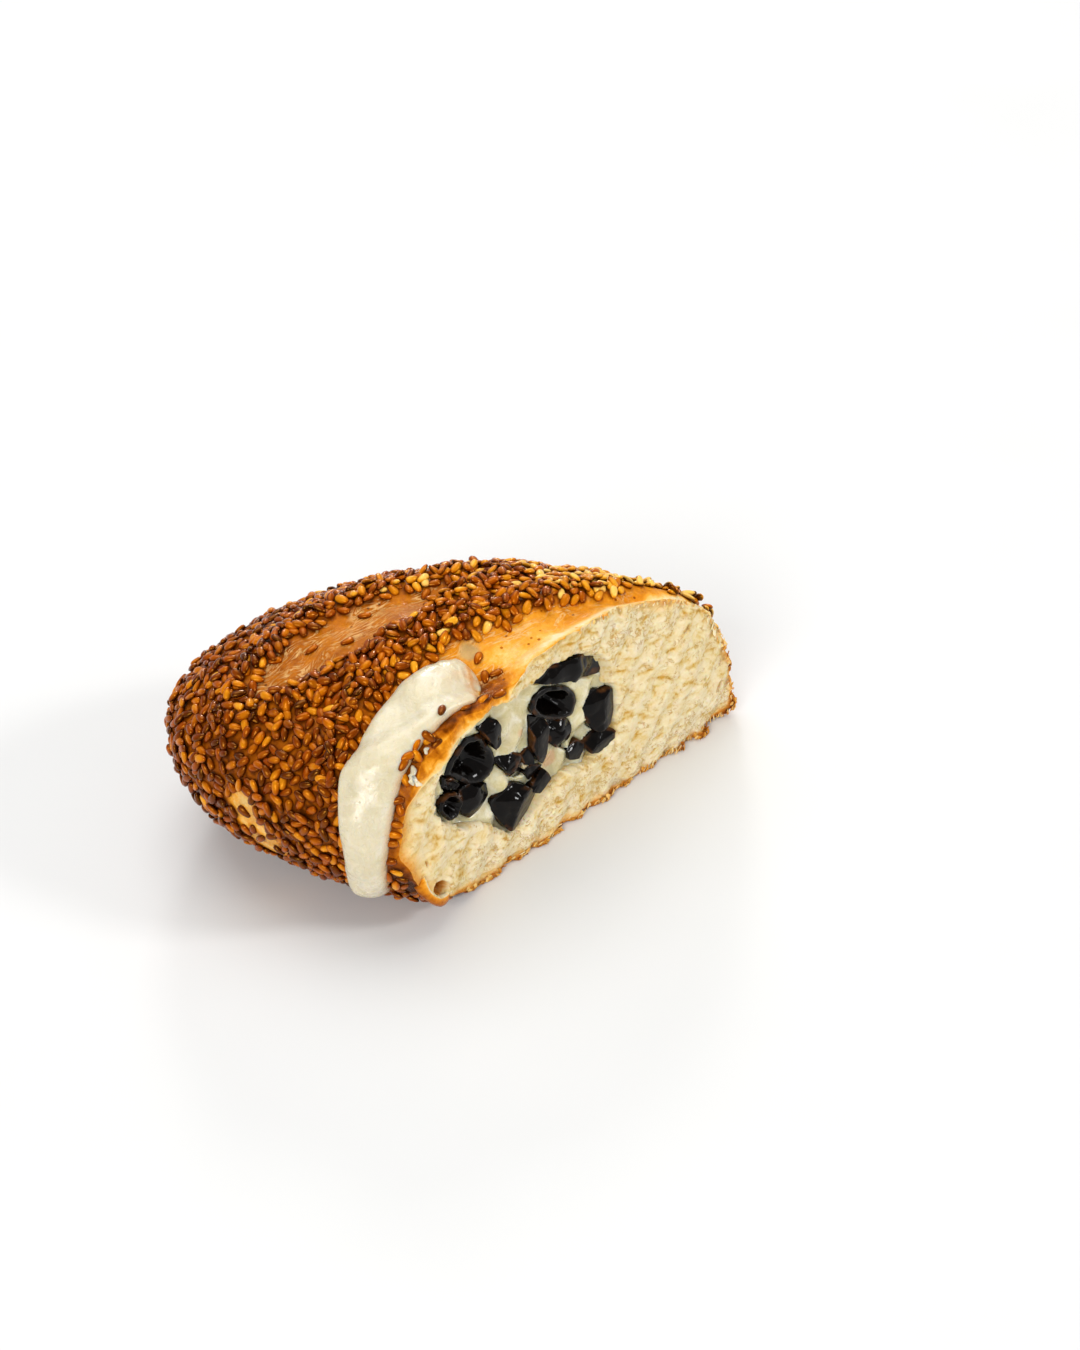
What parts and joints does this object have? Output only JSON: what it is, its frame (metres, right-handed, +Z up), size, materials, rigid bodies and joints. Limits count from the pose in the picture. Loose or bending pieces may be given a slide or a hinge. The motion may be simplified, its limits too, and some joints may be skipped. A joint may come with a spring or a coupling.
{
  "type": "filled simit roll half",
  "caption": "Half of an oval sesame-crusted bread roll, cut across, with melted cheese and chopped black olives inside and a run of cheese down its crust.",
  "frame": {"origin": "in the flat base, under the middle of the half", "axes": "+X along the knife cut, -Y out of the cut face, +Z up"},
  "size_m": [0.1241, 0.084, 0.0557],
  "materials": {
    "bread": "egg-washed golden brown crust with roasted sesame, pale crumb at the cut",
    "cheese": "smooth, moist, slightly translucent",
    "olive": "wet and glossy, near black"
  },
  "bodies": {
    "root": {"bread": "bread", "cheese_filling": "cheese", "cheese_run": "cheese", "olive_roof_slice": "olive", "olive_ring": "olive", "olive_glossy_chunk": "olive", "olive_strip": "olive", "olive_strip_chip": "olive", "olive_left_chip": "olive", "olive_corner_chunk": "olive", "olive_brown_chip": "olive", "olive_low_chip": "olive", "olive_right_slice": "olive", "olive_right_wedge": "olive", "olive_bottom_wedge": "olive", "olive_cup_rim": "olive", "olive_cup": "olive", "olive_cup_wall": "olive", "olive_dark_chip": "olive", "olive_small_ring": "olive"}
  },
  "joints": []
}
